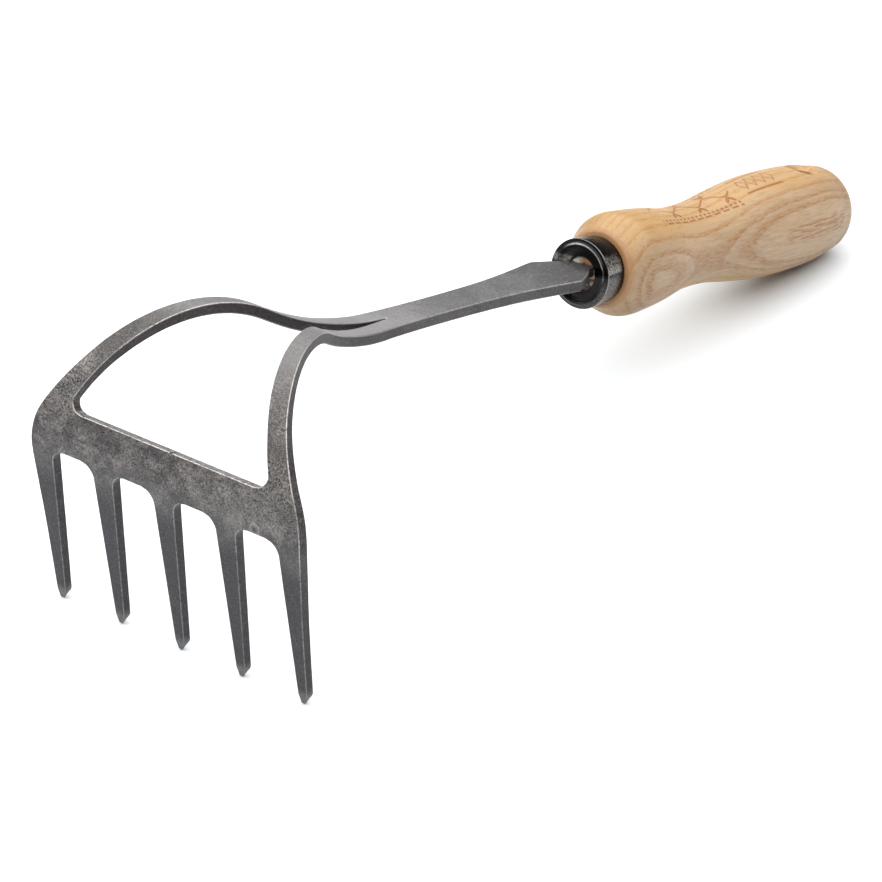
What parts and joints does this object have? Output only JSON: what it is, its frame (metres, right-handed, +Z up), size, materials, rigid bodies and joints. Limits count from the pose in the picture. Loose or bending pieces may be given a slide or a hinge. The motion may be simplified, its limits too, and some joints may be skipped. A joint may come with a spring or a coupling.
{
  "type": "garden hand rake",
  "caption": "Garden hand rake: bent steel head with tapered tines, crossbar and bow neck, steel ferrule, and a waisted turned ash handle with a hanging hole.",
  "frame": {"origin": "on the ground in the middle of the footprint, with the tool lying on its tine tips and butt", "axes": "+X across the tines, +Y along the tool from the tines to the butt, +Z up from the ground"},
  "size_m": [0.1094, 0.3514, 0.0991],
  "materials": {
    "head_steel": "dark oil-quenched mill scale, mottled, worn bright on edges and tips",
    "ferrule_steel": "glossy blackened steel, lightly scratched",
    "ash": "fine-sanded ash, thin oil",
    "resin": "cured pale grey resin, matte"
  },
  "bodies": {
    "root": {"rake_head": "head_steel", "ferrule": "ferrule_steel", "handle": "ash", "tang_bedding": "resin"}
  },
  "joints": []
}
